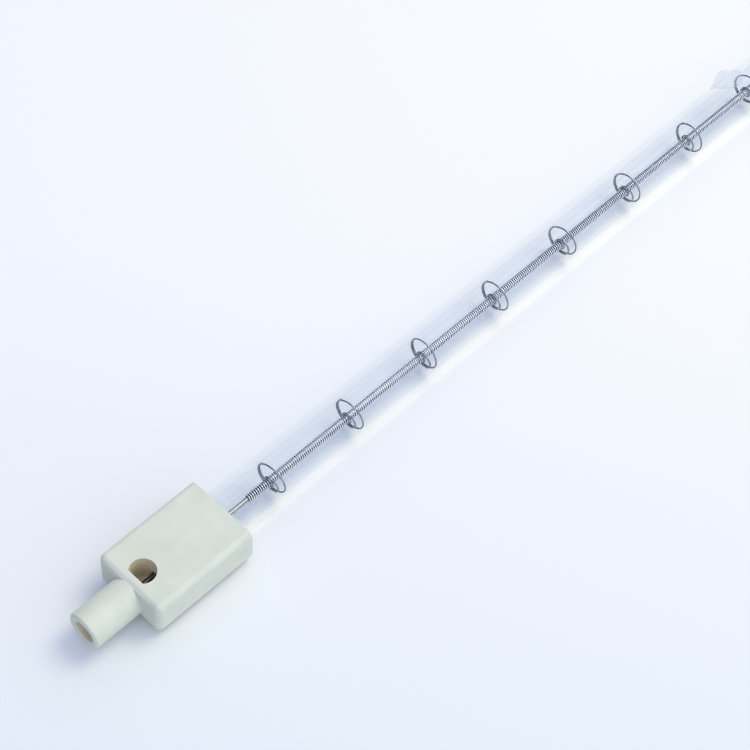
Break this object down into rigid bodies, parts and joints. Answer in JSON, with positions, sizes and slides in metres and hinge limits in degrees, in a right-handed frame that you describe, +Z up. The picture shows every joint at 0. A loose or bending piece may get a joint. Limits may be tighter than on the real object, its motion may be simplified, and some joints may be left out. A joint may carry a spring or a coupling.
{
  "type": "infrared heating tube",
  "caption": "Clear quartz tube heater lamp with a coiled filament on spiral wire supports and a pressed ceramic base with a cable nose at each end.",
  "frame": {"origin": "on the surface the tube lies on, under the middle of the tube", "axes": "X along the tube, Y across the broad faces of the bases, +Z up, out of the windows in the bases"},
  "size_m": [0.3416, 0.0152, 0.0105],
  "materials": {
    "quartz": "gloss",
    "tungsten": "satin",
    "support_wire": "satin",
    "molybdenum": "satin",
    "cement": "matte",
    "ceramic": "matte"
  },
  "bodies": {
    "root": {"quartz_envelope": "quartz", "filament": "tungsten", "filament_support_01": "support_wire", "filament_support_02": "support_wire", "filament_support_03": "support_wire", "filament_support_04": "support_wire", "filament_support_05": "support_wire", "filament_support_06": "support_wire", "filament_support_07": "support_wire", "filament_support_08": "support_wire", "filament_support_09": "support_wire", "filament_support_10": "support_wire", "filament_support_11": "support_wire", "filament_support_12": "support_wire", "filament_support_13": "support_wire", "filament_support_14": "support_wire", "inner_lead_left": "molybdenum", "sealing_foil_left": "molybdenum", "outer_lead_left": "molybdenum", "base_cement_left": "cement", "ceramic_base_left": "ceramic", "inner_lead_right": "molybdenum", "sealing_foil_right": "molybdenum", "outer_lead_right": "molybdenum", "base_cement_right": "cement", "ceramic_base_right": "ceramic"}
  },
  "joints": []
}
